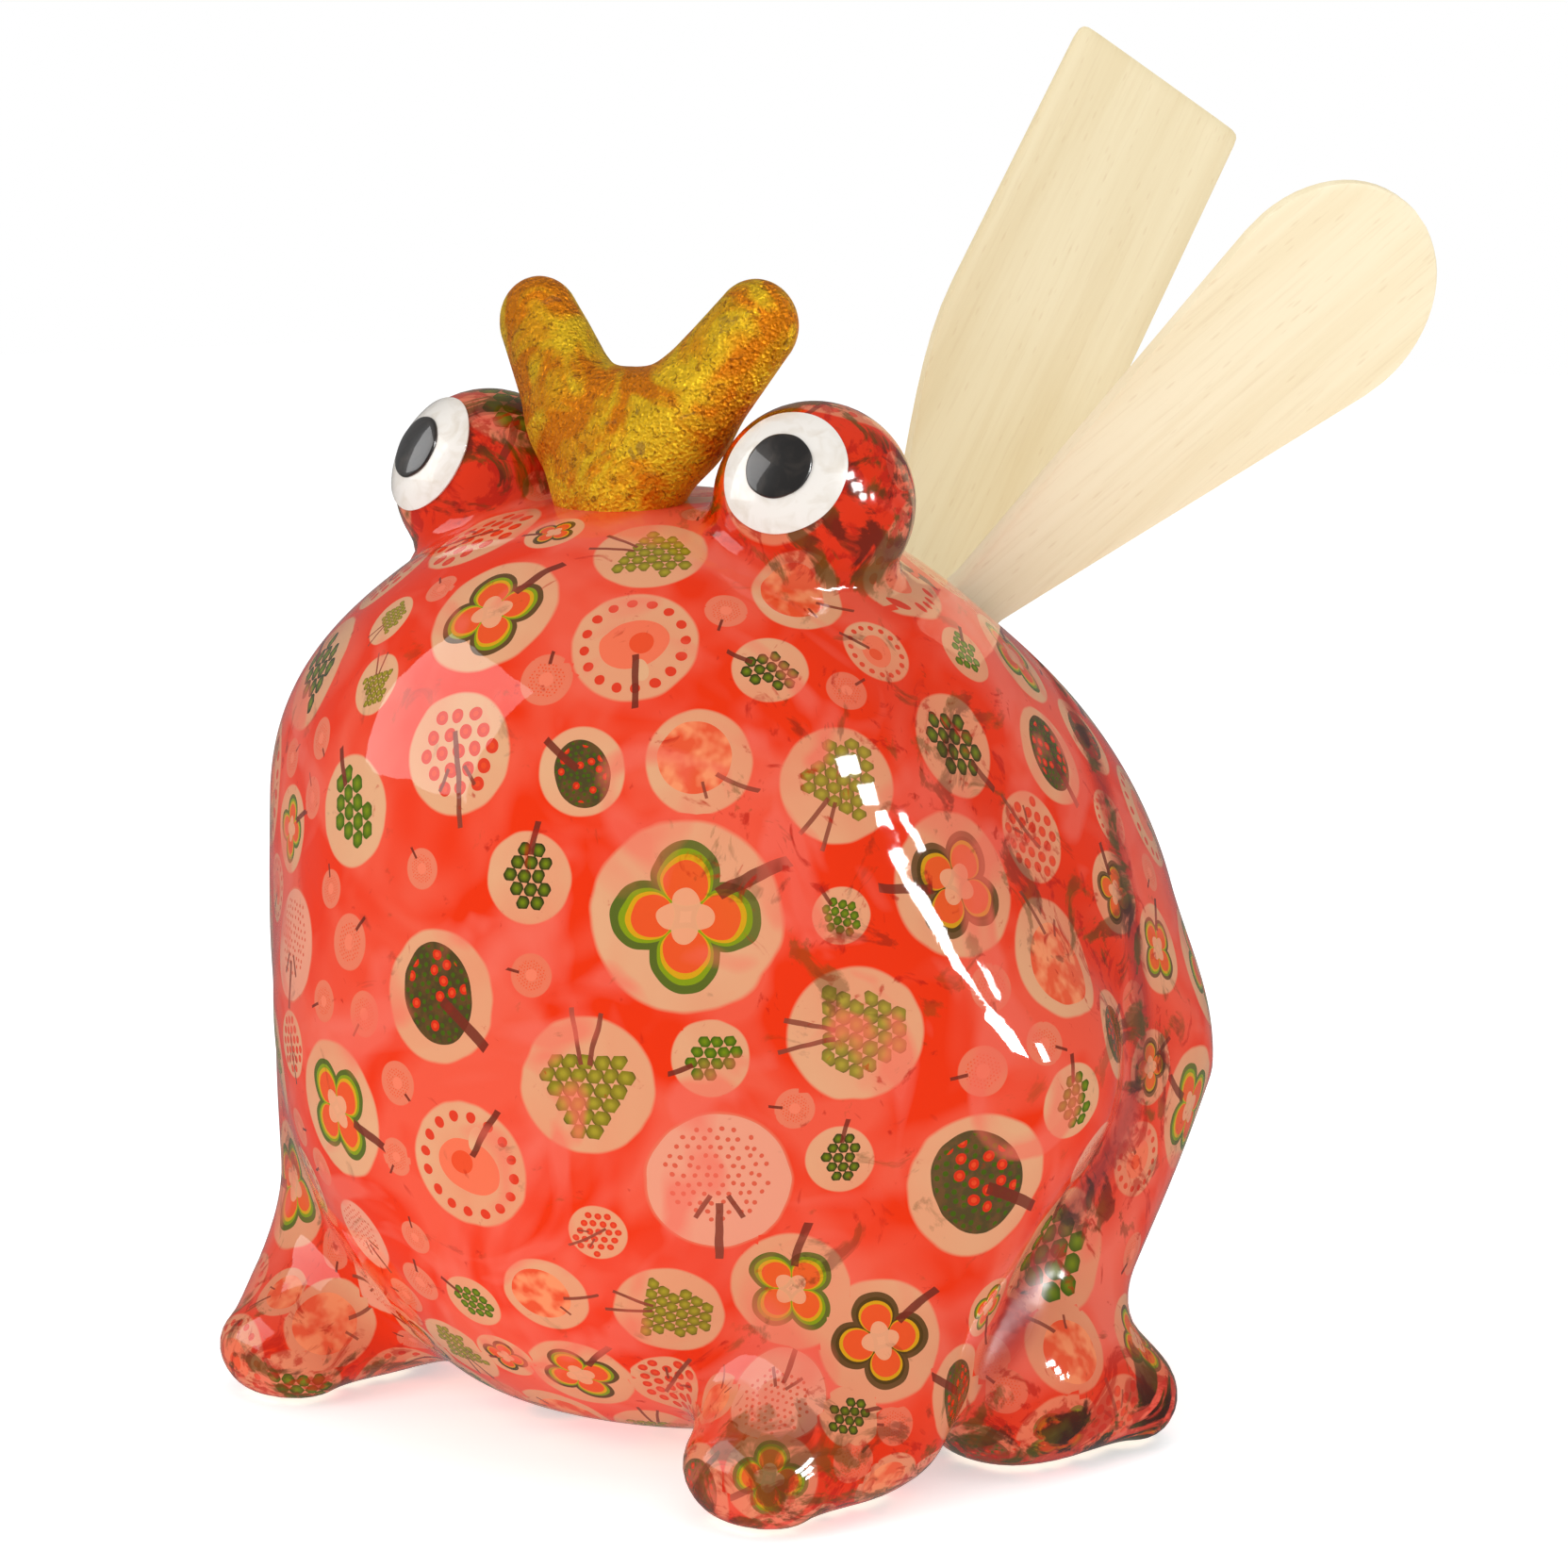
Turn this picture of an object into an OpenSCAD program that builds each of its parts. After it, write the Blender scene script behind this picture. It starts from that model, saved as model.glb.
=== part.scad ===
// Crowned frog utensil pot in glazed ceramic, with two wooden spatulas.
// The frog faces -Y, its left side is +X, and it stands on the plane z = 0.
// The origin is the middle of the belly's flat base.

/* [Belly] */
// Width of the belly at its widest
belly_w = 166; // [140:1:200]
// Depth of the belly from chest to back
belly_d = 172; // [146:1:206]
// Full height of the belly's round, part of which the base cuts off
belly_h = 167; // [150:1:195]
// Height of the belly's widest level
belly_z = 70.5; // [60:0.5:82]
// Gap between the belly and the table around the flat base
belly_lift = 3; // [1.5:0.5:6]
// Diameter of the flat base
base_d = 60; // [44:1:76]

/* [Head] */
// Width of the head's round
head_w = 139; // [118:1:160]
// Depth of the head's round
head_d = 124; // [104:1:146]
// Full height of the head's round
head_h = 100; // [86:1:120]
// Height of the head's middle above the belly's widest level
head_rise = 46; // [38:1:54]
// How far the head's middle sits in front of the belly's
head_forward = 19; // [10:1:28]

/* [Wall and mouth] */
// Thickness of the fired wall
wall = 4.5; // [3.5:0.1:6]
// Diameter of the mouth inside its lip
mouth_d = 58; // [48:1:70]
// Angle of the mouth round the back of the belly, from straight up
mouth_angle = 34; // [26:1:42]
// Thickness of the rounded lip
lip_t = 5.5; // [4:0.5:7]

/* [Eyes] */
// Diameter of an eye bulb
eye_d = 34.5; // [28:0.5:41]
// Distance between the two eye bulbs' centres
eye_span = 74; // [60:1:88]
// How far the bulbs' centres stand in front of the belly's middle
eye_forward = 24; // [18:1:32]
// Height of a bulb's centre below the top of the head
eye_drop = 1.5; // [-3:0.5:5]
// Outward turn of the gaze
gaze_out = 15; // [0:1:35]
// Upward turn of the gaze
gaze_up = 25; // [0:1:40]
// Diameter of the white of the eye
white_d = 21.5; // [17:0.5:26]
// Diameter of the pupil
pupil_d = 11.5; // [9:0.5:14]
// Thickness of each enamel disc
enamel_t = 0.8; // [0.6:0.1:1.4]

/* [Crown] */
// Width between the middles of the crown's two points
crown_span = 49; // [41:1:58]
// Height of the points' middles above the head
crown_h = 28; // [23:1:34]
// Width between the middles of the crown's two roots
crown_root = 13; // [9:1:18]
// Width between the middles of the two rounds at the crown's waist
crown_waist = 24; // [19:1:29]
// Height of the waist's rounds above the head
crown_waist_h = 12; // [9:1:15]
// Diameter of a waist round
crown_waist_d = 18; // [14:1:22]
// How far the crown's roots stand in front of its points
crown_lean = 8; // [0:1:12]
// Thickness of the crown from front to back
crown_t = 15; // [11:1:19]
// Diameter of a point
crown_tip_d = 16; // [12:1:20]
// Diameter of a root
crown_root_d = 20; // [16:1:25]

/* [Front legs] */
// Diameter of the shoulder
shoulder_d = 56; // [46:1:68]
// How far the front leg stands proud of the belly
leg_proud = 8.5; // [6:0.5:11]
// Height of the shoulder's middle
shoulder_z = 111; // [96:1:124]
// Diameter of the knee
knee_d = 54; // [45:1:65]
// Height of the knee's middle
knee_z = 70; // [58:1:82]
// Diameter of the front ankle and heel
front_heel_d = 30; // [25:1:36]
// Diameter of the front toe
front_toe_d = 19; // [16:1:23]
// How far the front toe's middle stands out from the belly
front_toe_out = 28; // [22:1:34]

/* [Rear legs] */
// Diameter of the haunch
haunch_d = 66; // [55:1:80]
// How far the haunch stands proud of the belly
haunch_proud = 5; // [3:0.5:8]
// Height of the haunch's middle
haunch_z = 62; // [52:1:74]
// Diameter of the rear ankle
rear_heel_d = 30; // [25:1:36]
// Diameter of the rear toe
rear_toe_d = 19; // [16:1:23]
// How far the rear toe's middle stands out from the belly
rear_toe_out = 25; // [20:1:30]

/* [Spatulas] */
// Length of the flat spatula
flat_len = 293; // [260:1:330]
// Width of the flat spatula's blade
flat_blade_w = 42; // [35:1:50]
// Length of the straight part of the flat blade
flat_blade_len = 66; // [54:1:80]
// Length of the round spatula
round_len = 261; // [235:1:300]
// Width of the round spatula's blade
round_blade_w = 46; // [38:1:52]
// Width of both handles
handle_w = 13; // [11:0.5:15]
// Thickness of both handles
handle_t = 5; // [4:0.5:6]
// Thickness of both blades at the tip
tip_t = 2.6; // [2:0.1:3.5]
// Gap between a handle's end and the pot's inside
rest_gap = 1.2; // [0.8:0.1:2.5]

/* [Hidden] */
// Semi-axes of the belly and the head
belly_r = [belly_w, belly_d, belly_h] / 2;
head_r = [head_w, head_d, head_h] / 2;
head_z = belly_z + head_rise;
head_top = head_z + head_r.z;
head_c = [0, -head_forward, head_z];
belly_c = [0, 0, belly_z];

// Facets round the belly, a limb's spheres and an eye bulb
round_fn = 48;
limb_fn = 24;
bulb_fn = 36;
// How much slimmer a foot is than the heel it grows from
heel_step = 1;
// Ellipsoids between the belly and the head
trunk_steps = 8;
// Spheres between two joints of a limb
limb_steps = 3;
// Thickness of a thin slice that a hull() joins to the next
skin = 0.02;

// Middle of the mouth on the belly, and how far the belly leans there
mouth_c = [0, belly_r.y * sin(mouth_angle), belly_z + belly_r.z * cos(mouth_angle)];
mouth_tilt = atan2(sin(mouth_angle) / belly_r.y, cos(mouth_angle) / belly_r.z);
// Radius of the lip's middle line, and how far its plane lies below the top of
// the round that the mouth cuts off, so that the lip lies flush with the belly
lip_r = (mouth_d + lip_t) / 2;
lip_sink = belly_r.z - sqrt(pow(belly_r.z, 2) - pow(lip_r, 2)) + lip_t / 2;
mouth_axis = [0, sin(mouth_tilt), cos(mouth_tilt)];
mouth_down = [0, cos(mouth_tilt), -sin(mouth_tilt)];
lip_c = mouth_c - lip_sink * mouth_axis;

// Where each spatula crosses the lip's plane: across and down from its middle
flat_cross = [-10.5, 16];
round_cross = [17, -5.5];
// How each spatula stands: lean from upright, direction of the lean from the
// back towards the frog's left, and turn about its own length
flat_pose = [37.9, 4.7, 62.4];
round_pose = [49.3, 49.4, 117];
// Distance above the lip at which each handle starts to widen into its blade
flat_flare = 8;
round_flare = 12;
// Radius of the flat blade's corners
blade_corner_r = 3;

LEFT = 1;
RIGHT = -1;

// ---- The pot's round: a chain of ellipsoids from the belly up to the head ----

// Half-width factor of a round of half-height r at height dz from its middle
function level(dz, r) = sqrt(max(0, 1 - pow(dz / r, 2)));

// The ellipsoid a share t of the way from belly to head, shrunk inwards by g
module trunk_ball(t, g) {
    translate(belly_c + (head_c - belly_c) * t)
        scale(belly_r + (head_r - belly_r) * t - [g, g, g]) sphere(1, $fn = round_fn);
}

// The round as a solid, shrunk inwards by g and cut level above the table
module round_solid(g = 0) {
    floor_z = belly_lift + g;
    intersection() {
        for (i = [0 : trunk_steps - 1]) hull() {
            trunk_ball(i / trunk_steps, g);
            trunk_ball((i + 1) / trunk_steps, g);
        }
        translate([-belly_w, -belly_d, floor_z]) cube([2 * belly_w, 2 * belly_d, 2 * belly_h]);
    }
}

// The whole outer shape: the round and the shallow dish down to the flat base
module pot_solid() {
    k = level(belly_z - belly_lift, belly_r.z);
    round_solid();
    hull() {
        cylinder(d = base_d, h = skin, $fn = round_fn);
        translate([0, 0, belly_lift]) scale([belly_r.x * k, belly_r.y * k, 1])
            cylinder(r = 1, h = skin, $fn = round_fn);
    }
}

module at_lip() {
    translate(lip_c) rotate([-mouth_tilt, 0, 0]) children();
}

// The lip is a full round that lies round the mouth in the thickness of the wall
module lip() {
    at_lip() rotate_extrude($fn = round_fn) translate([lip_r, 0]) circle(d = lip_t, $fn = 16);
}

module body_shell() {
    bore_h = belly_h / 2;
    color("tomato") {
        difference() {
            pot_solid();
            round_solid(wall);
            // the mouth is cut to the lip's middle line, and the lip closes its edge
            at_lip() translate([0, 0, -bore_h / 2]) cylinder(r = lip_r, h = bore_h, $fn = round_fn);
        }
        lip();
    }
}

// ---- Limbs ----

// A point beside the belly: s is the side, a the angle from the front, z the
// height, and out the distance beyond the belly's surface at that height
function beside(s, a, z, out) =
    let (u = [sin(a), -cos(a)],
         r = level(z - belly_z, belly_r.z) / norm([u.x / belly_r.x, u.y / belly_r.y]) + out)
    [s * r * u.x, r * u.y, z];

// A limb's joints as [centre, radius] pairs
function front_joints(s) = [
    [beside(s, 54, shoulder_z, leg_proud - shoulder_d / 2), shoulder_d / 2],
    [beside(s, 75.5, knee_z, leg_proud - knee_d / 2), knee_d / 2],
    [beside(s, 53.5, front_heel_d / 2, 7), front_heel_d / 2]];
function front_toe(s) = [beside(s, 41, front_toe_d / 2, front_toe_out), front_toe_d / 2];
function rear_joints(s) = [
    [beside(s, 118, haunch_z, haunch_proud - haunch_d / 2), haunch_d / 2],
    [beside(s, 82.5, rear_heel_d / 2, 6), rear_heel_d / 2]];
function rear_toe(s) = [beside(s, 98.5, rear_toe_d / 2, rear_toe_out), rear_toe_d / 2];

module ball(j) {
    translate(j[0]) sphere(j[1], $fn = limb_fn);
}

function between(a, b, t) = [a[0] + (b[0] - a[0]) * t, a[1] + (b[1] - a[1]) * t];

// Spheres joined in a chain from joint to joint
module limb(joints) {
    for (i = [0 : len(joints) - 2], k = [0 : limb_steps - 1]) hull() {
        ball(between(joints[i], joints[i + 1], k / limb_steps));
        ball(between(joints[i], joints[i + 1], (k + 1) / limb_steps));
    }
}

// A leg is luted to the belly, and cut clear of the limb it is given as a child
module leg(joints) {
    color("salmon") difference() {
        limb(joints);
        pot_solid();
        children();
    }
}

// A foot grows out of the heel, a little slimmer so that the heel's round stays clear
module foot(joints, toe) {
    heel = joints[len(joints) - 1];
    color("coral") difference() {
        hull() {
            ball([heel[0], heel[1] - heel_step]);
            ball(toe);
        }
        limb(joints);
        pot_solid();
    }
}

// ---- Eyes ----

function eye_c(s) = [s * eye_span / 2, -eye_forward, head_top - eye_drop];

// Turns the local Z axis along the gaze of the eye on side s
module at_gaze(s) {
    translate(eye_c(s)) rotate([0, 0, s * gaze_out]) rotate([90 - gaze_up, 0, 0]) children();
}

module eye_bulb(s) {
    color("indianred") difference() {
        at_gaze(s) sphere(d = eye_d, $fn = bulb_fn);
        pot_solid();
    }
}

// A round enamel disc of diameter d lying on a ball of radius r
module enamel_disc(d, r, t) {
    difference() {
        intersection() {
            sphere(r + t, $fn = 96);
            cylinder(d = d, h = 2 * r, $fn = 96);
        }
        sphere(r, $fn = 96);
    }
}

module eye_white(s) {
    color("white") at_gaze(s) enamel_disc(white_d, eye_d / 2, enamel_t);
}

module pupil(s) {
    color("black") at_gaze(s) enamel_disc(pupil_d, eye_d / 2 + enamel_t, enamel_t);
}

// ---- Crown ----

// A round of the crown, a distance x to one side and z above the head
module crown_ball(x, z, d) {
    y = -eye_forward - crown_lean * (1 - z / crown_h);
    translate([x, y, head_top + z]) scale([1, crown_t / crown_root_d, 1]) sphere(d = d, $fn = limb_fn);
}

// A solid foot up to the waist, then one point to each side
module crown() {
    steps = 4;
    color("gold") difference() {
        union() {
            hull() for (s = [LEFT, RIGHT]) {
                crown_ball(s * crown_root / 2, 0, crown_root_d);
                crown_ball(s * crown_waist / 2, crown_waist_h, crown_waist_d);
            }
            for (s = [LEFT, RIGHT], k = [0 : steps - 1]) hull() for (t = [k, k + 1] / steps)
                crown_ball(s * (crown_waist + (crown_span - crown_waist) * t) / 2,
                    crown_waist_h + (crown_h - crown_waist_h) * t,
                    crown_waist_d + (crown_tip_d - crown_waist_d) * t);
        }
        pot_solid();
        eye_bulb(LEFT);
        eye_bulb(RIGHT);
    }
}

// ---- Spatulas ----

// A point of the lip's plane, across and down from its middle
function lip_point(p) = lip_c + [p.x, 0, 0] + p.y * mouth_down;

// The direction in which a spatula leans
function lean_dir(pose) = [sin(pose[1]) * sin(pose[0]), cos(pose[1]) * sin(pose[0]), cos(pose[0])];

// Length of a handle below the lip until its end rests inside the pot: the
// nearer of the floor and the inside of the belly, less the handle's own half
function reach_floor(p, v, g) = (p.z - belly_lift - g) / v.z;
function reach_belly(p, v, g) =
    let (q = p - belly_c,
         r = belly_r - [g, g, g],
         a = pow(v.x / r.x, 2) + pow(v.y / r.y, 2) + pow(v.z / r.z, 2),
         b = -(q.x * v.x / pow(r.x, 2) + q.y * v.y / pow(r.y, 2) + q.z * v.z / pow(r.z, 2)),
         c = pow(q.x / r.x, 2) + pow(q.y / r.y, 2) + pow(q.z / r.z, 2) - 1)
    (-b + sqrt(b * b - a * c)) / a;
function reach(cross, pose) =
    let (p = lip_point(cross),
         v = lean_dir(pose),
         g = wall + handle_w / 2 + rest_gap)
    min(reach_floor(p, v, g), reach_belly(p, v, g)) + handle_w / 2;

// Puts a spatula drawn along Z, with z = 0 at the lip, in its place
module standing(cross, pose) {
    translate(lip_point(cross)) rotate([0, 0, -pose[1]]) rotate([-pose[0], 0, 0])
        rotate([0, 0, pose[2]]) children();
}

// Even curve from 0 to 1 without a corner at either end
function ease(t) = let (u = min(max(t, 0), 1)) u * u * (3 - 2 * u);

// Points of an arc about c from angle a0 to a1
function arc(c, r, a0, a1, n) = [for (i = [0 : n]) c + r * [cos(a0 + (a1 - a0) * i / n), sin(a0 + (a1 - a0) * i / n)]];

// Mirrors a list of outline points and reverses it
function mirrored(pts) = [for (i = [len(pts) - 1 : -1 : 0]) [-pts[i].x, pts[i].y]];

// Gives a flat outline in X and Z its thickness, thinning from the flare to the tip
module board(outline, below, flare, above) {
    intersection() {
        rotate([90, 0, 0]) linear_extrude(2 * handle_t, center = true) polygon(outline);
        rotate([90, 0, 90]) linear_extrude(2 * max(flat_blade_w, round_blade_w), center = true)
            polygon([[-handle_t / 2, -below - 1], [handle_t / 2, -below - 1], [handle_t / 2, flare],
                [tip_t / 2, above + 1], [-tip_t / 2, above + 1], [-handle_t / 2, flare]]);
    }
}

module flat_spatula() {
    below = reach(flat_cross, flat_pose);
    above = flat_len - below;
    hw = handle_w / 2;
    bw = flat_blade_w / 2;
    z1 = above - flat_blade_len;
    z0 = flat_flare;
    flare_steps = 10;
    side = concat(
        arc([0, hw - below], hw, -90, 0, 6),
        [for (i = [0 : flare_steps]) let (t = i / flare_steps) [hw + (bw - hw) * ease(t), z0 + (z1 - z0) * t]],
        arc([bw - blade_corner_r, above - blade_corner_r], blade_corner_r, 0, 90, 4));
    color("wheat") standing(flat_cross, flat_pose)
        board(concat(side, mirrored(side)), below, z0, above);
}

module round_spatula() {
    below = reach(round_cross, round_pose);
    above = round_len - below;
    hw = handle_w / 2;
    bw = round_blade_w / 2;
    zc = above - bw;
    // the straight flank leaves the handle at the flare and meets the round end at a tangent
    flank = atan2(bw - hw, zc - round_flare);
    side = concat(
        arc([0, hw - below], hw, -90, 0, 6),
        [[hw, round_flare]],
        arc([0, zc], bw, -flank, 90, 16));
    color("cornsilk") standing(round_cross, round_pose)
        board(concat(side, [for (p = mirrored(side)) if (p.x < 0) p]), below, round_flare, above);
}

body_shell();
crown();
eye_bulb(LEFT);  // left_eye_bulb
eye_bulb(RIGHT);  // right_eye_bulb
eye_white(LEFT);  // left_eye_white
eye_white(RIGHT);  // right_eye_white
pupil(LEFT);  // left_pupil
pupil(RIGHT);  // right_pupil
leg(front_joints(LEFT));  // front_left_leg
leg(front_joints(RIGHT));  // front_right_leg
leg(rear_joints(LEFT)) limb(front_joints(LEFT));  // rear_left_leg
leg(rear_joints(RIGHT)) limb(front_joints(RIGHT));  // rear_right_leg
foot(front_joints(LEFT), front_toe(LEFT));  // front_left_foot
foot(front_joints(RIGHT), front_toe(RIGHT));  // front_right_foot
foot(rear_joints(LEFT), rear_toe(LEFT));  // rear_left_foot
foot(rear_joints(RIGHT), rear_toe(RIGHT));  // rear_right_foot
flat_spatula();
round_spatula();
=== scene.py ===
# %% [markdown]
# # A crowned frog pot and its two wooden spatulas
# The pot is one hollow ceramic casting of a fat seated frog: the belly is the jar, and a
# round mouth behind the head takes the kitchen tools. Its skin is printed paper, torn and
# glued on in pieces and sealed under thick clear gloss. The crown is covered in gold leaf,
# and the eyes are dots of enamel. Every length below is in millimetres, in the frame's own
# axes: Z up, the frog faces -Y, and its left side is +X.

# %% Load the frame
import math

import bpy
import numpy as np
from mathutils import Matrix, Vector


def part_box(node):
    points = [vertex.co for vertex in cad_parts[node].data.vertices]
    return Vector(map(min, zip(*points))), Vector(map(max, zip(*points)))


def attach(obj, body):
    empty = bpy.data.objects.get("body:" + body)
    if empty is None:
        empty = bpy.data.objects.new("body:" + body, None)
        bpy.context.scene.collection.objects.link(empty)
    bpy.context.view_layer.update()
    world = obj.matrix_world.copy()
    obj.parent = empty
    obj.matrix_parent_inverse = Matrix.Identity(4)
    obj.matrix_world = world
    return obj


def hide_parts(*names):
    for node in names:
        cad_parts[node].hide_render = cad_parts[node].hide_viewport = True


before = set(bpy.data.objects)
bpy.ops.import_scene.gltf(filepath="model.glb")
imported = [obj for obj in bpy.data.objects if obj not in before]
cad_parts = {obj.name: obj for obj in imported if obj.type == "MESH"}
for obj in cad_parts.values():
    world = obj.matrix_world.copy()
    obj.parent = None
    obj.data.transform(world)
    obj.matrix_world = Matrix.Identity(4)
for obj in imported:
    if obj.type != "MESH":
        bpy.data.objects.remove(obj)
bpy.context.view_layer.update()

MM = 0.001

# %% [markdown]
# ## Small tools for modelling
# Blender's operators act on what is selected, so each step clears the selection first.
# A primitive is added at its size and place, and its transform is then applied, so that
# every finished piece has its place in its mesh.


# %% Primitives, joining and modifiers
def pick(*pieces):
    bpy.ops.object.select_all(action="DESELECT")
    for piece in pieces:
        piece.select_set(True)
    bpy.context.view_layer.objects.active = pieces[0]
    return pieces[0]


def settle_transform(piece):
    pick(piece)
    bpy.ops.object.transform_apply(location=True, rotation=True, scale=True)
    return piece


def add_ball(centre, radii, segments=48):
    bpy.ops.object.select_all(action="DESELECT")
    bpy.ops.mesh.primitive_uv_sphere_add(segments=segments, ring_count=segments // 2, radius=1)
    ball = bpy.context.object
    ball.location = Vector(centre) * MM
    ball.scale = Vector(radii) * MM
    return settle_transform(ball)


def join(pieces, name):
    joined = pick(*pieces)
    bpy.ops.object.join()
    joined.name = name
    joined.data.name = name
    return joined


def apply_modifier(piece, kind, **settings):
    pick(piece)
    modifier = piece.modifiers.new(kind.title(), kind)
    for name, value in settings.items():
        setattr(modifier, name, value)
    bpy.ops.object.modifier_apply(modifier=modifier.name)
    return piece


def shade_round(piece):
    pick(piece)
    bpy.ops.object.shade_smooth()


def read(items, name, width, kind=float):
    """One row of numbers for each point, edge, corner or face."""
    flat = np.empty(len(items) * width, kind)
    items.foreach_get(name, flat)
    return flat.reshape(-1, width)


def points_of(piece):
    return read(piece.data.vertices, "co", 3) / MM


def move_points(piece, points):
    piece.data.vertices.foreach_set("co", (points * MM).ravel())
    piece.data.update()


print("modelling tools ready")

# %% [markdown]
# ## Clay as a distance
# Clay limbs are pressed onto a body and the joints are smoothed with a wet thumb. A
# distance field says this well: each lump is a formula for how far a point is from its
# surface, and a smooth minimum of two lumps is their union with a fillet, as wide as the
# thumb. Blender's own balls give the mesh, a voxel remesh welds them, and each point is
# then pressed onto the surface where the field is zero. Metaballs could do this too, but
# their fillets can't be set joint by joint.


# %% Lumps and fillets
def ellipsoid(p, centre, radii):
    q = (p - centre) / radii
    near = np.linalg.norm(q, axis=1)
    slope = np.linalg.norm(q / radii, axis=1) + 1e-9
    return near * (near - 1) / slope


def round_cone(p, a, ra, b, rb):
    along = b - a
    t = np.clip((p - a) @ along / (along @ along), 0, 1)
    return np.linalg.norm(p - a - t[:, None] * along, axis=1) - ra - t * (rb - ra)


def weld(a, b, fillet):
    h = np.clip(0.5 + 0.5 * (b - a) / fillet, 0, 1)
    return b + (a - b) * h - fillet * h * (1 - h)


def cut(a, b, fillet):
    return -weld(-a, b, fillet)


def ramp(x, low, high):
    t = np.clip((x - low) / (high - low), 0, 1)
    return t * t * (3 - 2 * t)


print("lumps: ellipsoid, round cone; joints: weld, cut")


# %% Press a mesh onto a field
def press(piece, field, rounds, relax=0.5, reach=1.5):
    """Evens out a mesh along its edges, and presses its points onto the field's zero."""
    p = points_of(piece)
    count = len(p)
    edges = read(piece.data.edges, "vertices", 2, np.int32)
    a, b = edges.T
    degree = np.bincount(edges.ravel(), minlength=count)[:, None]
    probe, flattest = 0.05, 0.05
    for _ in range(rounds):
        total = [np.bincount(a, p[b, i], count) + np.bincount(b, p[a, i], count) for i in range(3)]
        p += relax * (np.stack(total, 1) / degree - p)
        for _ in range(2):
            d = field(p)
            slope = np.stack([field(p + probe * axis) - d for axis in np.eye(3)], 1) / probe
            size = np.maximum((slope**2).sum(1), flattest)
            step = (d / size)[:, None] * slope
            length = np.linalg.norm(step, axis=1)[:, None] + 1e-9
            p -= step * np.minimum(1, reach / length)
    move_points(piece, p)
    worst = round(float(abs(field(p)).max()), 2)
    print(piece.name, "pressed,", count, "points, largest error", worst, "mm")


# %% [markdown]
# ## The frog's measures
# The belly and head are two ellipsoids with the space between them filled, a shape that
# stands as a chain of ellipsoids. Their places repeat the frame's: the shell's own box
# gives the belly's width, and an eye's place is printed beside its bulb's box. The limbs
# are chains of round cones from shoulder to knee to heel and from haunch to heel.

# %% Belly and head
low, high = (np.array(corner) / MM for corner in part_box("body_shell"))
BELLY = np.array([0, 0, 70.5])
BELLY_R = np.array([(high[0] - low[0]) / 2, 86, 83.5])
HEAD = np.array([0, -19, 116.5])
HEAD_R = np.array([69.5, 62, 50])
LINKS = 9
WALL = 4.5
BASE_R = 30
LIFT = 2.2
BELLY_EDGE, TABLE_EDGE = 6, 2.5


def trunk(p, inset):
    chain = []
    for t in np.linspace(0, 1, LINKS):
        centre = BELLY + (HEAD - BELLY) * t
        radii = BELLY_R + (HEAD_R - BELLY_R) * t - inset
        chain.append(ellipsoid(p, centre, radii))
    soft = 0.6
    nearest = np.min(chain, 0)
    return nearest - soft * np.log(sum(np.exp((nearest - d) / soft) for d in chain)) + soft


print("belly", BELLY_R.round(1), "head", HEAD_R)

# %% The mouth in the back
MOUTH_ANGLE = math.radians(34)
MOUTH_R, BORE_DEPTH = 30.2, 40
mouth_top = BELLY + [0, BELLY_R[1] * math.sin(MOUTH_ANGLE), BELLY_R[2] * math.cos(MOUTH_ANGLE)]
mouth_axis = np.array([0, math.sin(MOUTH_ANGLE) / BELLY_R[1], math.cos(MOUTH_ANGLE) / BELLY_R[2]])
mouth_axis /= np.linalg.norm(mouth_axis)


def mouth(p):
    height = (p - mouth_top) @ mouth_axis
    radius = np.linalg.norm(p - mouth_top - height[:, None] * mouth_axis, axis=1)
    return np.maximum(radius - MOUTH_R, -height - BORE_DEPTH)


print("mouth at", mouth_top.round(1), "facing", mouth_axis.round(2))


# %% Places beside the belly
def beside(side, angle, z, out):
    """A point at an angle from the front, a distance out from the belly's surface."""
    turn = math.radians(angle)
    x, y = math.sin(turn), -math.cos(turn)
    level = math.sqrt(1 - ((z - BELLY[2]) / BELLY_R[2]) ** 2)
    r = level / math.hypot(x / BELLY_R[0], y / BELLY_R[1]) + out
    return np.array([side * r * x, r * y, z])


def front_joints(side):
    return [(beside(side, 54, 111, -19.5), 28), (beside(side, 75.5, 70, -19.1), 27),
            (beside(side, 53.5, 16, 6), 15)]


def rear_joints(side):
    return [(beside(side, 118, 62, -28), 33), (beside(side, 82.5, 15, 6), 15)]


FRONT_TOE = (41, 8.5, 26.5, 9.5)
REAR_TOE = (98.5, 8.5, 22.5, 9.5)
FOOT_SPREAD, FOOT_HEEL_R = 1.45, 13
FRONT_FILLET, CREASE_FILLET = 14, 3.5
JOINT_FILLET, REAR_FILLET, FOOT_FILLET = 3, 8, 12
LEFT, RIGHT = 1, -1
print("left knee at", front_joints(LEFT)[1][0].round(1))

# %% [markdown]
# ## The whole pot as one field
# The front leg melts into the chest on its front side and has a deep crease behind it, so
# its fillet narrows round the leg. A foot is a round cone, widened sideways, and cut flat
# by the table. The inside is the same round, a wall smaller, opened by the mouth's bore.
# Where the two meet, a rounded cut leaves the lip.


# %% Limbs and feet
def leg_field(p, joints):
    d = None
    for (a, ra), (b, rb) in zip(joints, joints[1:]):
        link = round_cone(p, a, ra, b, rb)
        d = link if d is None else weld(d, link, JOINT_FILLET)
    return d


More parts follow.
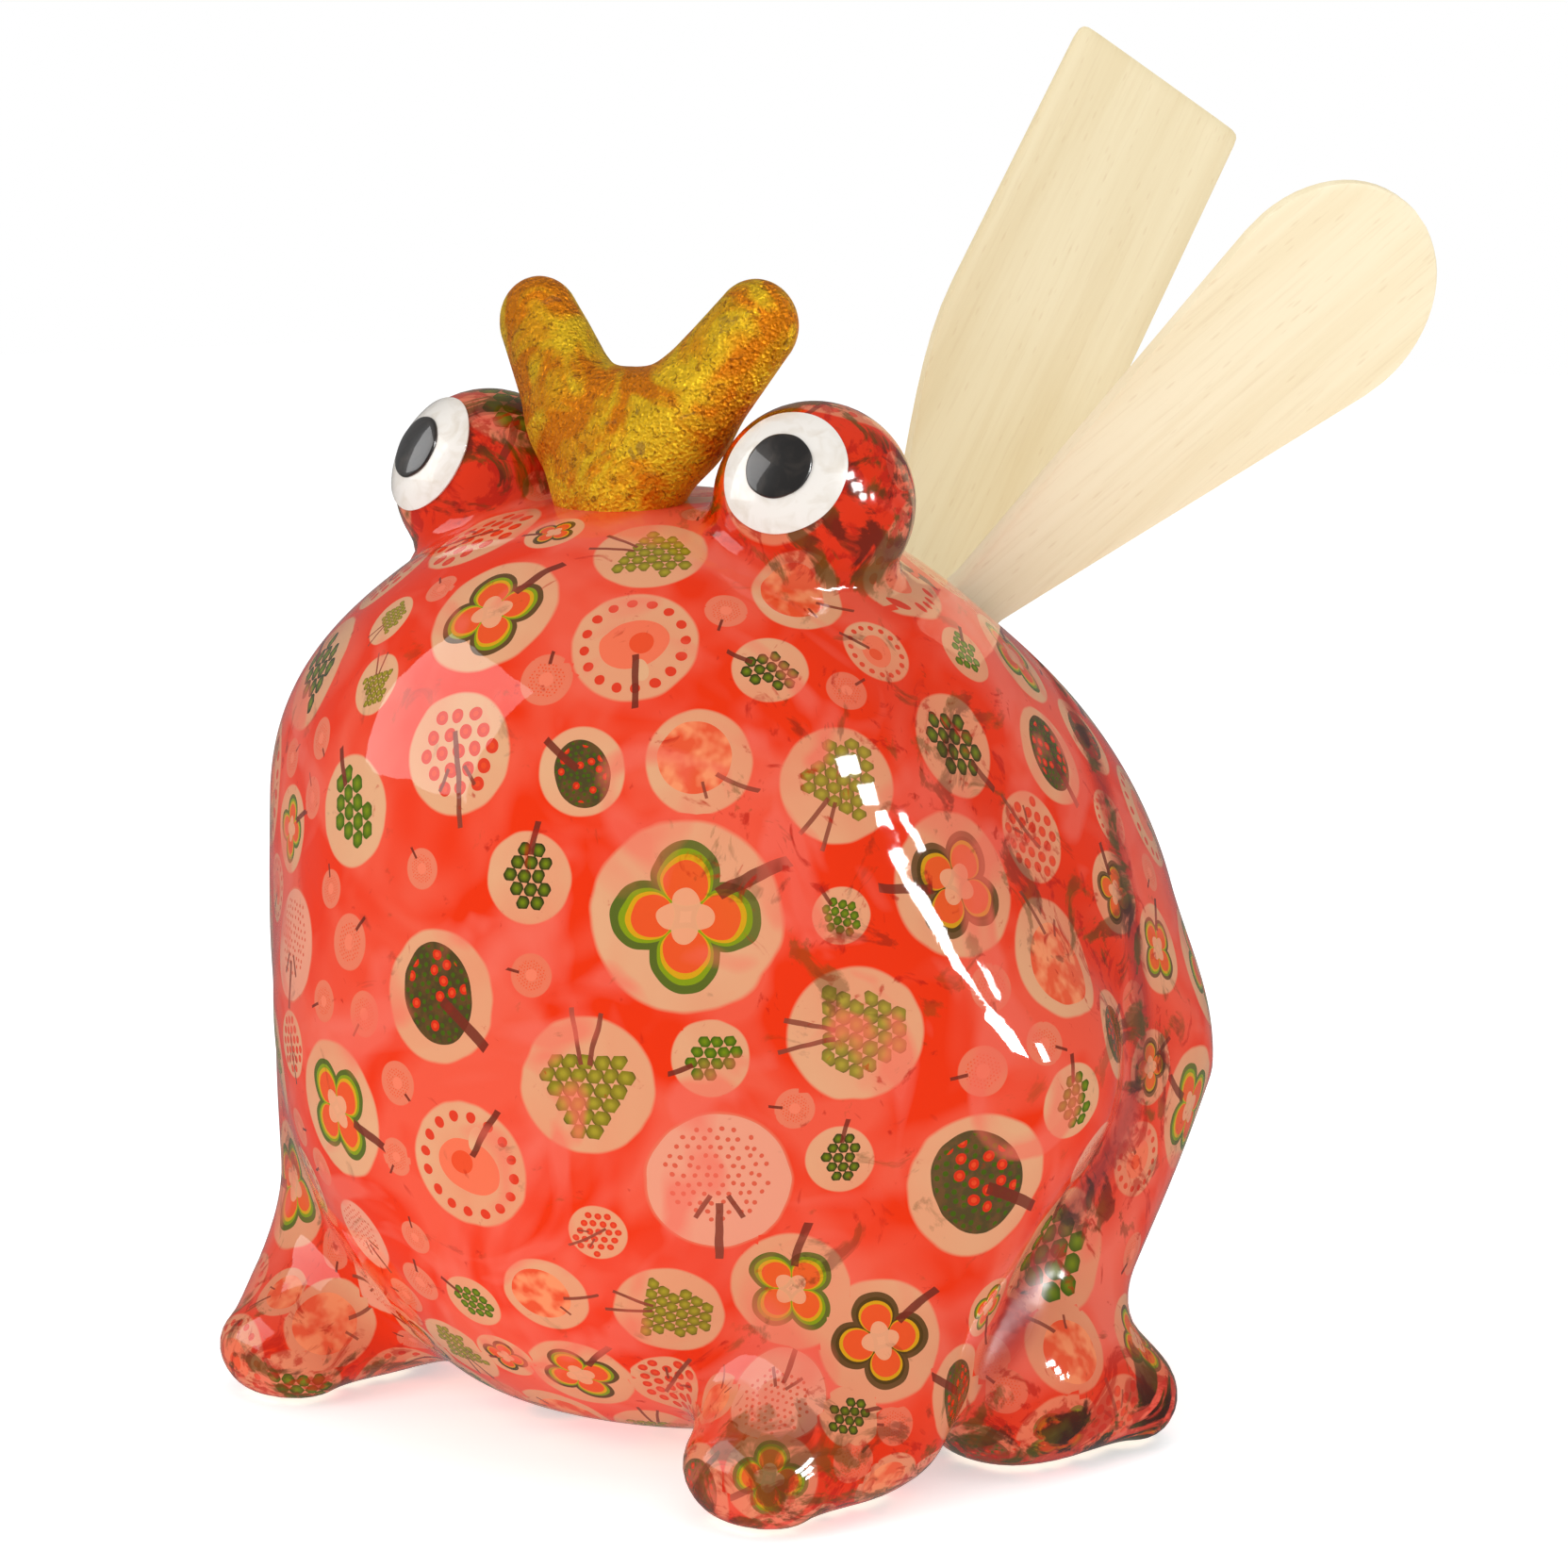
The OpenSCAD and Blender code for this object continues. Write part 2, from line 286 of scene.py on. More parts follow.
def foot_field(p, heel, toe):
    angle, z, out, radius = toe
    side = np.sign(heel[0])
    tip = beside(side, angle, z, out)
    ahead = (tip - heel) * [1, 1, 0]
    ahead /= np.linalg.norm(ahead)
    across = np.array([-ahead[1], ahead[0], 0])
    q = p - heel
    squeezed = q - ((q @ across) * (1 - 1 / FOOT_SPREAD))[:, None] * across
    return round_cone(squeezed, np.zeros(3), FOOT_HEEL_R, tip - heel, radius)


def leg_line(joints):
    """Each joint's height and angle from the front, from the heel up."""
    heights = [centre[2] for centre, _ in reversed(joints)]
    angles = [math.degrees(math.atan2(abs(centre[0]), -centre[1])) for centre, _ in reversed(joints)]
    return heights, angles


def leg_fillet(p, joints):
    """Wide in front of the leg, narrow in the crease behind it."""
    heights, angles = leg_line(joints)
    around = np.degrees(np.arctan2(abs(p[:, 0]), -p[:, 1]))
    behind = ramp(around - np.interp(p[:, 2], heights, angles), -6, 16)
    return FRONT_FILLET + (CREASE_FILLET - FRONT_FILLET) * behind


print("fillets from", FRONT_FILLET, "to", CREASE_FILLET, "mm round the front legs")

# %% Outside, inside and the solid between them
eye_low, eye_high = (np.array(corner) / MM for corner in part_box("left_eye_bulb"))
EYE_R, EYE_FILLET = 17.25, 5
EYE = np.array([37, -24, 165])
FOOT_RING_H, FOOT_RING_FILLET = 3, 3
BORE_FILLET, LIP_ROUND = 4, 4.5


def folded(p):
    """Both halves of the frog laid on its left one."""
    return np.stack([abs(p[:, 0]), p[:, 1], p[:, 2]], 1)


def outside(p):
    q = folded(p)
    d = cut(trunk(q, 0), q[:, 2] - LIFT, BELLY_EDGE)
    base = cut(np.linalg.norm(q[:, :2], axis=1) - BASE_R, q[:, 2], 1)
    d = weld(d, np.maximum(base, q[:, 2] - LIFT - FOOT_RING_H), FOOT_RING_FILLET)
    front, rear = front_joints(LEFT), rear_joints(LEFT)
    d = weld(d, leg_field(q, rear), REAR_FILLET)
    d = weld(d, leg_field(q, front), leg_fillet(q, front))
    d = weld(d, foot_field(q, front[-1][0], FRONT_TOE), FOOT_FILLET)
    d = weld(d, foot_field(q, rear[-1][0], REAR_TOE), FOOT_FILLET)
    d = weld(d, np.linalg.norm(q - EYE, axis=1) - EYE_R, EYE_FILLET)
    return cut(d, q[:, 2], TABLE_EDGE)


def inside(p):
    hollow = cut(trunk(p, WALL), p[:, 2] - LIFT - WALL, BELLY_EDGE)
    return weld(hollow, mouth(p), BORE_FILLET)


def pot_field(p):
    return cut(outside(p), inside(p), LIP_ROUND)


print("eye bulb centre", EYE, "from the box", ((eye_low + eye_high) / 2).round(1))

# %% [markdown]
# ## The casting
# The outside starts as balls for belly, head, limbs and bulbs, welded by a voxel remesh.
# The inside is made the same way and taken out with a Boolean. A second remesh gives even
# faces, less than half as wide as the wall is thick, to shape the lip and the creases.

# %% Cast the pot
COARSE, FINE = 2.5, 1.75


def balls_along(joints, steps=4):
    made = []
    for (a, ra), (b, rb) in zip(joints, joints[1:]):
        for t in np.linspace(0, 1, steps):
            made.append(add_ball(a + (b - a) * t, [ra + (rb - ra) * t] * 3, 24))
    return made


def slice_off_below(piece, height, closed):
    pick(piece)
    bpy.ops.object.mode_set(mode="EDIT")
    bpy.ops.mesh.select_all(action="SELECT")
    bpy.ops.mesh.bisect(plane_co=(0, 0, height * MM), plane_no=(0, 0, 1), clear_inner=True,
                        use_fill=closed)
    bpy.ops.object.mode_set(mode="OBJECT")


def remesh(piece, voxel):
    return apply_modifier(piece, "REMESH", mode="VOXEL", voxel_size=voxel * MM)


def weld_balls(lumps, name, floor):
    """One coarse mesh from many lumps, with a flat floor at a height."""
    clay = remesh(join(lumps, name), COARSE)
    slice_off_below(clay, floor, True)
    return remesh(clay, COARSE)


def rough_outside():
    lumps = [add_ball(BELLY, BELLY_R), add_ball((BELLY + HEAD) / 2, (BELLY_R + HEAD_R) / 2),
             add_ball(HEAD, HEAD_R)]
    for side in (LEFT, RIGHT):
        for joints, toe in ((front_joints(side), FRONT_TOE), (rear_joints(side), REAR_TOE)):
            angle, z, out, radius = toe
            tip = (beside(side, angle, z, out), radius)
            lumps += balls_along(joints) + balls_along([joints[-1], tip])
        lumps.append(add_ball(EYE * [side, 1, 1], [EYE_R] * 3, 32))
    clay = weld_balls(lumps, "pot", 0.2)
    press(clay, outside, 5)
    return clay


def rough_inside():
    hollow = [add_ball(BELLY, BELLY_R - WALL), add_ball(HEAD, HEAD_R - WALL),
              add_ball((BELLY + HEAD) / 2, (BELLY_R + HEAD_R) / 2 - WALL)]
    bpy.ops.object.select_all(action="DESELECT")
    bpy.ops.mesh.primitive_cylinder_add(radius=MOUTH_R * MM, depth=2 * BORE_DEPTH * MM, vertices=64)
    bore = bpy.context.object
    bore.location = Vector(mouth_top) * MM
    bore.rotation_euler = Vector((0, 0, 1)).rotation_difference(Vector(mouth_axis)).to_euler()
    hollow.append(settle_transform(bore))
    return weld_balls(hollow, "hollow", LIFT + WALL)


pot = rough_outside()
hollow = rough_inside()
apply_modifier(pot, "BOOLEAN", operation="DIFFERENCE", solver="EXACT", object=hollow)
bpy.data.objects.remove(hollow)
remesh(pot, FINE)
print("pot cast with", len(pot.data.polygons), "faces")

# %% Smooth the clay
press(pot, pot_field, 6)
shade_round(pot)

# %% [markdown]
# ## The crown
# A squat lump of clay between the eyes with a horn out to each side, modelled like the
# pot: balls, a remesh at a finer size, and a press onto welded round cones. It stands a
# little inside the head, so that no gap shows where the two meet.

# %% Model the crown
HEAD_TOP = HEAD[2] + HEAD_R[2]
CROWN_H, CROWN_LEAN, CROWN_TIP_Y = 28, 8, -24
CROWN_FLAT, CROWN_SUNK = 0.75, 3


def crown_point(x, z):
    return np.array([x, CROWN_TIP_Y - CROWN_LEAN * (1 - z / CROWN_H), HEAD_TOP + z])


CROWN = [(crown_point(4.5, 0), 8.5), (crown_point(11.5, 12), 9.8), (crown_point(24.5, CROWN_H), 8)]


def crown_field(p):
    q = p.copy()
    line = np.interp(q[:, 2], [HEAD_TOP, HEAD_TOP + CROWN_H], [CROWN_TIP_Y - CROWN_LEAN, CROWN_TIP_Y])
    q[:, 1] = line + (q[:, 1] - line) / CROWN_FLAT
    horns = weld(leg_field(q, CROWN), leg_field(q * [-1, 1, 1], CROWN), 12)
    middle = round_cone(q, crown_point(0, 0), 9, crown_point(0, 9), 9.5)
    return cut(weld(horns, middle, 6), trunk(p, CROWN_SUNK), 1)


def model_crown():
    lumps = []
    for side in (LEFT, RIGHT):
        joints = [(c * [side, 1, 1], r) for c, r in CROWN]
        lumps += balls_along(joints)
    lumps.append(add_ball(crown_point(0, 4), [9, 7, 14], 32))
    crown = join(lumps, "crown_leafed")
    remesh(crown, 0.8)
    press(crown, crown_field, 8)
    shade_round(crown)
    return crown


crown = model_crown()

# %% [markdown]
# ## The eyes
# Each eye is a drop of white enamel with a smaller black drop on it, painted by hand, so
# neither is a perfect circle. A drop is cut from a ball a little larger than the bulb:
# the cap round the gaze is kept, given a thickness, and its rim is bevelled.

# %% Model the enamel drops
GAZE_OUT, GAZE_UP = math.radians(15), math.radians(25)
ENAMEL_SEAT, ENAMEL_EDGE = 0.5, 0.35


def model_drop(name, side, diameter, rise, wander):
    """A round drop of enamel on the bulb, whose edge wanders as a brush does."""
    ball_r = EYE_R + rise
    drop = add_ball((0, 0, 0), [ball_r] * 3, 96)
    reach = math.asin(diameter / 2 / EYE_R)
    slice_off_below(drop, ball_r * math.cos(reach), False)
    apply_modifier(drop, "SOLIDIFY", thickness=(rise + ENAMEL_SEAT) * MM, offset=-1)
    apply_modifier(drop, "BEVEL", width=ENAMEL_EDGE * MM, segments=3, limit_method="ANGLE",
                   angle_limit=math.radians(50))
    p = points_of(drop)
    around = np.arctan2(p[:, 1], p[:, 0])
    waves = np.sin(2 * around + side) + 0.6 * np.sin(3 * around + 2) + 0.4 * np.sin(7 * around)
    p[:, :2] *= (1 + wander * waves)[:, None]
    gaze = Matrix.Rotation(side * GAZE_OUT, 4, "Z") @ Matrix.Rotation(math.pi / 2 - GAZE_UP, 4, "X")
    move_points(drop, p @ np.array(gaze.to_3x3()).T + EYE * [side, 1, 1])
    drop.name = name
    shade_round(drop)
    return drop


whites, pupils = [], []
for side, word in ((LEFT, "left"), (RIGHT, "right")):
    whites.append(model_drop(word + "_eye_enamel", side, 21.3, 0.55, 0.008))
    pupils.append(model_drop(word + "_pupil_enamel", side, 11.6, 1.05, 0.015))
print("enamel drops:", [drop.name for drop in whites + pupils])

# %% [markdown]
# ## The spatulas
# Each spatula is sawn from a flat beech board and sanded. A rounded bar section is
# extruded station by station along the handle, widening into the blade and thinning to
# its tip, and the ends are rounded by their last few stations. The grain must follow the
# board, so each point keeps its place on the board in an attribute of its own, before the
# spatula is leant into the pot.

# %% Extrude a spatula
HANDLE_W, HANDLE_T, TIP_T = 13, 5, 2.6


def bar_section(width, thick):
    """A mesh ring: a bar's rounded section, lying flat at the origin."""
    bpy.ops.object.select_all(action="DESELECT")
    bpy.ops.mesh.primitive_circle_add(vertices=24, radius=1, fill_type="NGON")
    ring = bpy.context.object
    p = points_of(ring) * MM
    corner = 0.28
    turn = np.arctan2(p[:, 1], p[:, 0])
    c, s = np.cos(turn), np.sin(turn)
    p[:, 0] = np.sign(c) * abs(c) ** corner * width / 2
    p[:, 1] = np.sign(s) * abs(s) ** corner * thick / 2
    move_points(ring, p)
    return ring


def model_spatula(name, stations, node_pose):
    """Stations are (distance, width, thickness) along the board; the pose leans it in."""
    z0, width, thick = stations[0]
    board = bar_section(width, thick)
    bpy.ops.object.mode_set(mode="EDIT")
    bpy.ops.mesh.select_all(action="SELECT")
    bpy.ops.transform.translate(value=(0, 0, z0 * MM))
    for (z, w, t), (z_next, w_next, t_next) in zip(stations, stations[1:]):
        bpy.ops.mesh.extrude_region_move(TRANSFORM_OT_translate={"value": (0, 0, (z_next - z) * MM)})
        bpy.ops.transform.resize(value=(w_next / w, t_next / t, 1))
    bpy.ops.mesh.select_all(action="SELECT")
    bpy.ops.mesh.normals_make_consistent(inside=False)
    bpy.ops.object.mode_set(mode="OBJECT")
    place = points_of(board)
    grain = board.data.attributes.new("board_place", "FLOAT_VECTOR", "POINT")
    grain.data.foreach_set("vector", (place * MM).astype(np.float32).ravel())
    board.data.transform(node_pose)
    board.name = name
    pick(board)
    bpy.ops.object.shade_smooth_by_angle(angle=math.radians(40))
    length = round(stations[-1][0] - stations[0][0])
    print(name, "is", length, "mm long,", len(board.data.polygons), "faces")
    return board


print("handles are", HANDLE_W, "by", HANDLE_T, "mm")


# %% Where the spatulas stand
LIP_R, LIP_T = 31.75, 5.5
lip_sink = BELLY_R[2] - math.sqrt(BELLY_R[2] ** 2 - LIP_R**2) + LIP_T / 2
lip_middle = mouth_top - lip_sink * mouth_axis
mouth_down = np.array([0, mouth_axis[2], -mouth_axis[1]])


def lean(across, down, tilt, toward, twist):
    spot = lip_middle + [across, 0, 0] + down * mouth_down
    turns = [(-toward, "Z"), (-tilt, "X"), (twist, "Z")]
    pose = Matrix.Translation(Vector(spot) * MM)
    for angle, axis in turns:
        pose = pose @ Matrix.Rotation(math.radians(angle), 4, axis)
    return pose


flat_pose = lean(across=-10.5, down=16, tilt=37.9, toward=4.7, twist=62.4)
round_pose = lean(across=17, down=-5.5, tilt=49.3, toward=49.4, twist=117)
print("lip middle", lip_middle.round(1))


# %% How deep a spatula reaches
def ends_of(node, pose):
    """The lowest place of a packed spatula along its own board, and its highest."""
    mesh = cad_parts[node].data
    inverse = pose.inverted()
    along = [(inverse @ v.co).z / MM for v in mesh.vertices]
    return min(along), max(along)


flat_ends = ends_of("flat_spatula", flat_pose)
round_ends = ends_of("round_spatula", round_pose)
print("boards run from", [round(e, 1) for e in flat_ends + round_ends])

# %% Model both spatulas
ROUND_END = [(0.0, 0.22), (0.06, 0.5), (0.2, 0.78), (0.45, 0.94), (1, 1)]


def thickness(z, flare, top):
    return HANDLE_T + (TIP_T - HANDLE_T) * float(np.clip((z - flare) / (top - flare), 0, 1))


def handle_stations(start, flare):
    rounded = [(start + HANDLE_W / 2 * d, HANDLE_W * w, HANDLE_T * min(1, w + 0.35))
               for d, w in ROUND_END]
    straight = [(z, HANDLE_W, HANDLE_T) for z in np.linspace(start + HANDLE_W, flare, 8)]
    return rounded + straight


def flat_stations():
    start, top = flat_ends
    flare, blade_w, blade, sanded = 8, 42, 66, 0.3
    stations = handle_stations(start, flare)
    for t in np.linspace(0, 1, 13)[1:]:
        z = flare + (top - blade - flare) * t
        stations.append((z, HANDLE_W + (blade_w - HANDLE_W) * ramp(t, 0, 1), thickness(z, flare, top)))
    for d, w in ((30, 1), (3, 1), (1.2, 0.99), (0.4, 0.97), (0, 0.93)):
        z = top - sanded - d
        thinner = 1 if d > 2 else 0.75 + 0.2 * d
        stations.append((z, blade_w * w, thickness(z, flare, top) * thinner))
    return stations


def round_stations():
    start, top = round_ends
    flare, blade_w = 12, 46
    half = blade_w / 2
    middle = top - half
    flank = math.atan2(half - HANDLE_W / 2, middle - flare)
    stations = handle_stations(start, flare)
    for t in np.linspace(0, 1, 9)[1:]:
        z = flare + (middle - half * math.sin(flank) - flare) * t
        w = HANDLE_W + (2 * half * math.cos(flank) - HANDLE_W) * t
        stations.append((z, w, thickness(z, flare, top)))
    for angle in np.linspace(0, 84, 15):
        turn = math.radians(angle)
        z = middle + half * math.sin(turn)
        near_tip = max(0.6, min(1, 0.6 + 4 * (1 - math.sin(turn))))
        stations.append((z, blade_w * math.cos(turn), thickness(z, flare, top) * near_tip))
    return stations


flat_spatula = model_spatula("flat_spatula_beech", flat_stations(), flat_pose)
round_spatula = model_spatula("round_spatula_beech", round_stations(), round_pose)

# %% [markdown]
# ## The printed paper
# The paper's print is round medallions of fruit, flowers and little trees on a coral
# ground. Paper torn into pieces lies a little differently on each part of the clay, so
# the print can't be one flat sheet wrapped round. Each medallion gets a middle on the
# skin, a size and a turn instead, and the faces round that middle get its own
# coordinates in a UV map: the middle is zero, and the medallion's edge is one. A number
# on each face then says which motif is drawn there. The chest's medallions are listed
# one by one; the back, the legs and the feet are filled by seeded chance.

# %% The chest's medallions
FLOWER, TREE, DOTTED, GRAPES, HEARTS, BEADED, FRUIT, BUNCH, CHERRY = range(1, 10)

# angle from the front, height, radius, motif, turn
CHEST = [
    (33, 101, 15.5, FLOWER, 0), (2, 148, 12, FLOWER, 30), (25, 144, 10.5, BEADED, 200),
    (-14, 135, 5.6, GRAPES, 20), (14, 138, 4.6, CHERRY, 0), (4, 126, 10.3, HEARTS, 12),
    (21, 124, 7.3, TREE, 200), (35, 127, 8.6, FRUIT, 0), (51, 122, 9.5, GRAPES, 150),
    (-13, 114, 9.5, BUNCH, 40), (15, 107, 7.5, BUNCH, 0), (4, 86, 11, TREE, 20),
    (-27, 88, 10, DOTTED, 0), (-12, 92, 4.8, CHERRY, -40), (0, 106, 3.4, CHERRY, 40),
    (16, 91, 3.6, CHERRY, 80), (22, 73, 11.3, GRAPES, 0), (36, 78, 6.3, BUNCH, 120),
    (-14, 62, 12, FLOWER, -50), (7, 57, 11, BEADED, -20), (37, 58, 12, DOTTED, 0),
    (23, 48, 5, HEARTS, -60), (52, 83, 11, GRAPES, 90), (66, 76, 4.2, CHERRY, 100),
    (66, 55, 12.3, TREE, 30), (-16, 39, 7, DOTTED, 30), (-4, 42, 3.2, CHERRY, 0),
    (2, 31, 5.5, BUNCH, 60), (15, 35, 7.7, FRUIT, 30), (30, 34, 9.2, GRAPES, 80),
    (15, 18, 9.5, FLOWER, 20), (45, 38, 10, FLOWER, 45), (55, 30, 10.2, FLOWER, 10),
    (44, 140, 6.2, BUNCH, 70), (24, 157, 9.5, GRAPES, 100), (79, 140, 5.6, BUNCH, -30),
    (91, 122, 9, TREE, -20), (97, 98, 7.3, FLOWER, 60), (77, 68, 6.5, BUNCH, 10),
    (60, 142, 6.2, BEADED, 60), (100, 66, 6.6, FLOWER, 0), (97, 50, 6.6, BEADED, 40)]
print(len(CHEST), "medallions placed by hand")

# %% Where the skin's faces are
centres = read(pot.data.polygons, "center", 3) / MM
normals = read(pot.data.polygons, "normal", 3)
skin = abs(outside(centres)) < 0.6 * WALL
PAPER_END_Z = 1.2
printed = skin & (centres[:, 2] > PAPER_END_Z)
print(int(printed.sum()), "of", len(centres), "faces carry print")


# %% Place every medallion
FEET_TOP, BIGGEST_ON_FEET, SMALLEST_TREE = 24, 8.5, 4.6


def nearest_face(angle, height):
    """The printed face seen at an angle from the front and a height."""
    turn = np.degrees(np.arctan2(centres[:, 0], -centres[:, 1]))
    miss = ((turn - angle + 180) % 360 - 180) * 1.4
    far = np.hypot(miss, centres[:, 2] - height) - 0.02 * np.linalg.norm(centres[:, :2], axis=1)
    return int(np.where(printed, far, 1e9).argmin())


def place_medallions():
    rng = np.random.default_rng(31)
    placed = [(nearest_face(a, h), r, motif, t) for a, h, r, motif, t in CHEST]
    spots = [centres[face] for face, *_ in placed]
    sizes = [r for _, r, *_ in placed]
    faces = np.flatnonzero(printed)
    for radius, tries in ((11, 700), (9, 900), (7, 1400), (5.2, 1800), (3.6, 2200)):
        for face in rng.choice(faces, tries):
            size = radius * rng.uniform(0.85, 1.15)
            low_down = centres[face][2] < FEET_TOP
            crowding, room = (0.55, 0.2) if low_down else (1.05, 0.9)
            gaps = np.linalg.norm(np.array(spots) - centres[face], axis=1) - np.array(sizes)
            if gaps.min() < size * crowding + room or (low_down and size > BIGGEST_ON_FEET):
                continue
            motifs = (FLOWER, TREE, DOTTED, GRAPES, HEARTS, BEADED, FRUIT, BUNCH)
            motif = CHERRY if size < SMALLEST_TREE else int(rng.choice(motifs))
            placed.append((int(face), size, motif, rng.uniform(-180, 180)))
            spots.append(centres[face])
            sizes.append(size)
    return placed


medallions = place_medallions()
print(len(medallions), "medallions in all")


# %% Give each face its medallion's coordinates
def store(piece, domain, **numbers):
    """Keeps named numbers on a mesh, for the shader to read."""
    for name, values in numbers.items():
        layer = piece.data.attributes.new(name, "FLOAT", domain)
        layer.data.foreach_set("value", values.astype(np.float32))


def lay_print(piece, medallions, overhang=1.35):
    mesh = piece.data
    count = len(mesh.polygons)
    best = np.full(count, overhang)
    owner = np.full(count, -1)
    for i, (face, radius, _, _) in enumerate(medallions):
        away = np.linalg.norm(centres - centres[face], axis=1) / radius
        near = (away < best) & (normals @ normals[face] > 0.15) & printed
        best[near] = away[near]
        owner[near] = i
    loops = read(mesh.loops, "vertex_index", 1, np.int32)[:, 0]
    sides = read(mesh.polygons, "loop_total", 1, np.int32)[:, 0]
    corner_face = np.repeat(np.arange(count), sides)
    corner = points_of(piece)[loops]
    nowhere = 9.0
    uv = np.full((len(loops), 2), nowhere)
    for i, (face, radius, _, turn) in enumerate(medallions):
        mine = owner[corner_face] == i
        n = normals[face]
        up = np.array([0, 0, 1.0]) if abs(n[2]) < 0.85 else np.array([0, 1.0, 0])
        right = np.cross(up, n)
        right /= np.linalg.norm(right)
        above = np.cross(n, right)
        away = corner[mine] - centres[face]
        flat = np.stack([away @ right, away @ above], 1)
        flat *= (np.linalg.norm(away, axis=1) / (np.linalg.norm(flat, axis=1) + 1e-6))[:, None]
        c, s = math.cos(math.radians(turn)), math.sin(math.radians(turn))
        uv[mine] = flat @ np.array([[c, -s], [s, c]]) / radius
    layer = mesh.uv_layers.new(name="medallion")
    layer.data.foreach_set("uv", uv.astype(np.float32).ravel())
    motif = np.array([0] + [m[2] for m in medallions])[owner + 1]
    golden = 0.618
    store(piece, "FACE", motif=motif, luck=(golden * owner + 0.1) % 1)
    print(int((owner >= 0).sum()), "faces belong to a medallion")


lay_print(pot, medallions)

# %% Where paper overlaps, where the creases get painted shade, and where the inside and the foot ring begin
def mark_overlaps(piece):
    """One on the feet and the bulbs, where many scraps of paper lie on one another; in the creases and
    round and behind the front legs it is painted shade.
    """
    p = points_of(piece)
    q = folded(p)
    body = trunk(q, 0)
    front = leg_field(q, front_joints(LEFT))
    rear = leg_field(q, rear_joints(LEFT))
    # painted shade, not paper: the crease between front leg and haunch, the join round the front leg
    # (near_leg) and the band behind it (behind)
    crease = np.exp(-((np.abs(front - rear) / 5) ** 2)) * ramp(q[:, 2], 8, 30)
    foot = ramp(-q[:, 2], -30, -8) * ramp(body, 0, 7) * (0.6 + 0.4 * ramp(q[:, 1], -30, -15))
    bulb = ramp(EYE_R + 4 - np.linalg.norm(q - EYE, axis=1), 0, 4)
    near_leg = np.exp(-((front - 2) / 6) ** 2) * np.exp(-(body / 5) ** 2) * 0.45
    heights, angles = leg_line(front_joints(LEFT))
    around = np.degrees(np.arctan2(q[:, 0], -q[:, 1])) - np.interp(q[:, 2], heights, angles)
    flank = ramp(q[:, 2], 24, 44) * ramp(-q[:, 2], -125, -95)
    behind = 0.6 * np.exp(-((around - 24) / 12) ** 2) * flank
    marks = np.clip(np.maximum.reduce([0.8 * crease, foot, 0.7 * bulb, near_leg, behind]), 0, 1)
    store(piece, "POINT", overlap=marks, crease=np.clip(crease, 0, 1))
    return marks


marks = mark_overlaps(pot)
PAPER, GLAZE, CLAY = range(3)
slots = np.where(skin, PAPER, GLAZE)
slots[skin & (centres[:, 2] < PAPER_END_Z) & (normals[:, 2] < -0.7)] = CLAY
pot.data.polygons.foreach_set("material_index", slots.astype(np.int32))
print("overlaps on", int((marks > 0.3).sum()), "points;", int((slots == GLAZE).sum()), "faces inside")

# %% [markdown]
# ## Writing shaders as sums
# A print of nine motifs takes hundreds of shader nodes. Written one by one they can't be
# read, so a small class wraps a socket, and Python's own operators add the nodes.


# %% A socket that does arithmetic
class Wire:
    """An output socket of a material. Arithmetic on it adds Math nodes."""

    def __init__(self, finish, socket):
        self.finish = finish
        self.socket = socket

    def out(self, name):
        return Wire(self.finish, self.socket.node.outputs[name])

    def math(self, operation, *values, clamp=False):
        return self.finish.add("ShaderNodeMath", {"operation": operation, "use_clamp": clamp},
                               dict(enumerate(values)))

    def __add__(self, other):
        return self.math("ADD", self, other)

    def __sub__(self, other):
        return self.math("SUBTRACT", self, other)

    def __rsub__(self, other):
        return self.math("SUBTRACT", other, self)

    def __mul__(self, other):
        return self.math("MULTIPLY", self, other)

    def __abs__(self):
        return self.math("ABSOLUTE", self)

    def __lt__(self, other):
        return self.math("LESS_THAN", self, other)

    def __gt__(self, other):
        return self.math("GREATER_THAN", self, other)

    def __or__(self, other):
        return self.math("MAXIMUM", self, other)

    def __and__(self, other):
        return self.math("MINIMUM", self, other)

    __radd__ = __add__

    def soft(self, low, high):
        """Zero up to low and one from high, with an even slope between them."""
        return self.math("MULTIPLY", self - low, 1 / (high - low), clamp=True)


class Finish:
    """A material, and the one method that adds any node to it."""

    def __init__(self, name):
        self.material = bpy.data.materials.new(name)
        self.material.use_nodes = True
        self.tree = self.material.node_tree
        self.shader = self.tree.nodes["Principled BSDF"]

    def add(self, kind, settings, inputs, output=0):
        node = self.tree.nodes.new(kind)
        for name, value in settings.items():
            setattr(node, name, value)
        for slot, value in inputs.items():
            self.plug(node.inputs[slot], value)
        return Wire(self, node.outputs[output])

    def plug(self, socket, value):
        if isinstance(value, Wire):
            self.tree.links.new(value.socket, socket)
        else:
            socket.default_value = value

    def set(self, **values):
        for name, value in values.items():
            self.plug(self.shader.inputs[name.replace("_", " ").title().replace("Ior", "IOR")], value)

    def mix(self, a, b, share):
        return self.add("ShaderNodeMix", {"data_type": "RGBA"}, {0: share, 6: a, 7: b}, 2)

    def noise(self, vector, scale, detail=3, rough=0.5, warp=0):
        return self.add("ShaderNodeTexNoise", {}, {"Vector": vector, "Scale": scale, "Detail": detail,
                                                   "Roughness": rough, "Distortion": warp})

    def place(self):
        return self.add("ShaderNodeTexCoord", {}, {}, "Object")

    def attribute(self, name, output="Fac"):
        return self.add("ShaderNodeAttribute", {"attribute_name": name}, {}, output)

    def bump(self, height, distance, strength=1.0, under=None):
        inputs = {"Height": height, "Distance": distance * MM, "Strength": strength}
        if under is not None:
            inputs["Normal"] = under
        return self.add("ShaderNodeBump", {}, inputs)


